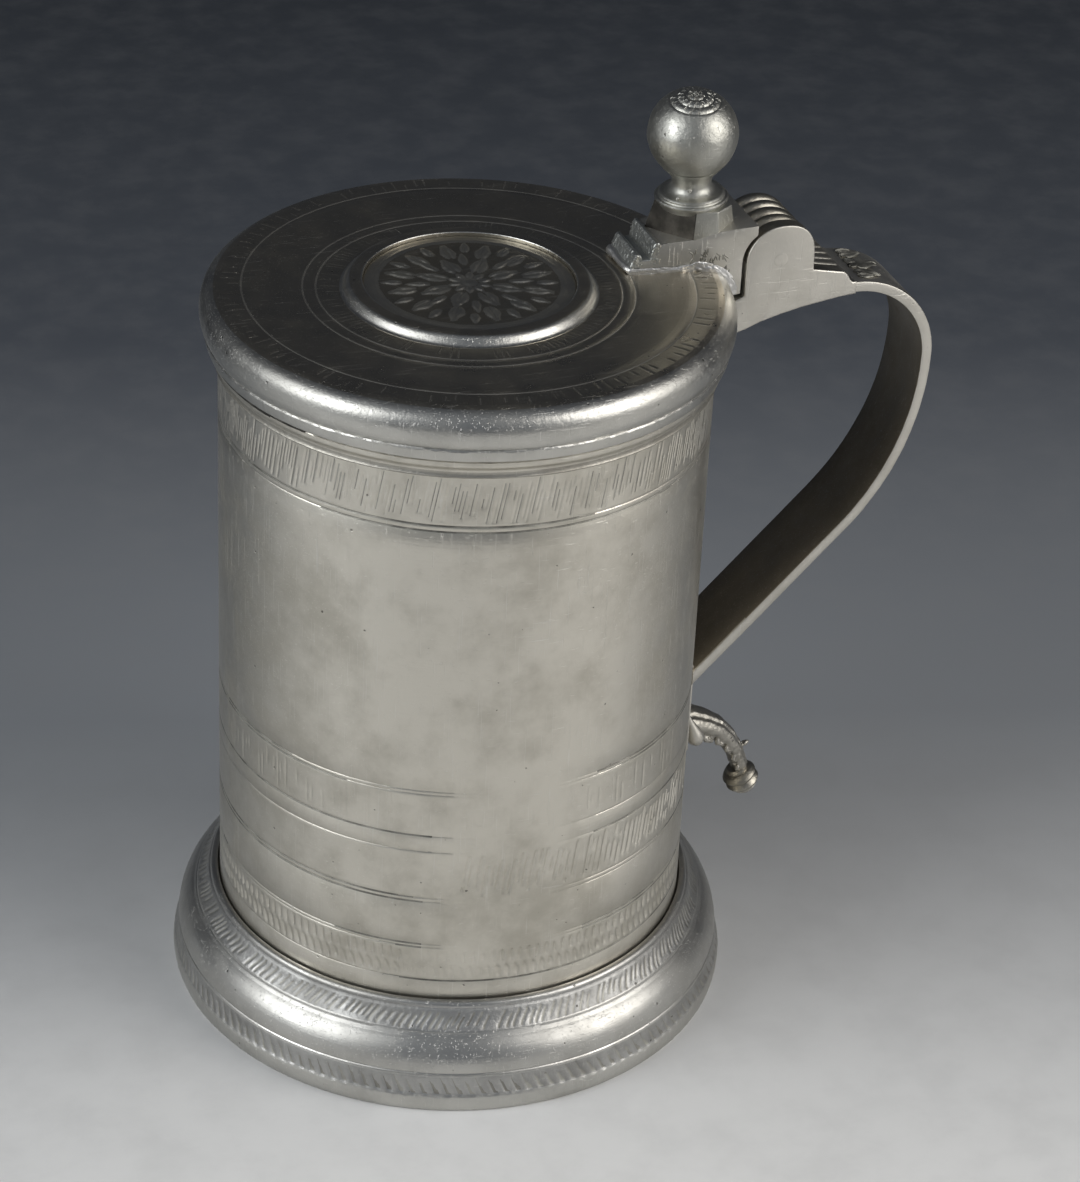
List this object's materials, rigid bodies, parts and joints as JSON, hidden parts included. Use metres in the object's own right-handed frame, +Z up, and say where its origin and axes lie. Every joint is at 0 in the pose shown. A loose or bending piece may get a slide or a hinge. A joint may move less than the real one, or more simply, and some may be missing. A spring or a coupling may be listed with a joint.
{
  "type": "lidded flagon",
  "caption": "Pewter flagon: straight drum on a flared foot, flat hinged lid with a ball thumbpiece and set-in medallion, strap handle with a curled tail. The lid opens.",
  "frame": {"origin": "centre of the foot's rim, on the surface it stands on", "axes": "+Z up along the drum's axis, +X from the axis towards the handle, Y along the lid's hinge pin"},
  "size_m": [0.1765, 0.1324, 0.2178],
  "materials": {
    "drum": "aged pewter, dull satin with fine scratches",
    "foot": "aged pewter, rubbed brighter on the bulge",
    "inside": "aged pewter, dull",
    "handle": "aged pewter, edges rubbed bright",
    "pin": "pewter, filed flush",
    "lid": "aged pewter, smooth satin",
    "medallion": "dark cast pewter relief, worn",
    "thumbpiece": "aged cast pewter",
    "solder": "rough bright solder"
  },
  "bodies": {
    "vessel": {"drum": "drum", "drum_floor": "inside", "foot_skirt": "foot", "lip_moulding": "drum", "handle_bracket": "handle", "handle_strap": "handle", "handle_tail": "handle", "hinge_pin": "pin"},
    "lid": {"lid_plate": "lid", "medallion_bezel": "lid", "medallion": "medallion", "thumbpiece_plinth": "thumbpiece", "plinth_solder": "solder", "thumbpiece_pedestal": "thumbpiece", "thumbpiece_ball": "thumbpiece"}
  },
  "joints": [
    {"name": "lid_hinge", "type": "hinge", "parent": "vessel", "child": "lid", "pos_m": [0.07, 0, 0.1792], "axis": [0, 1, 0], "range_deg": [0, 105]}
  ]
}
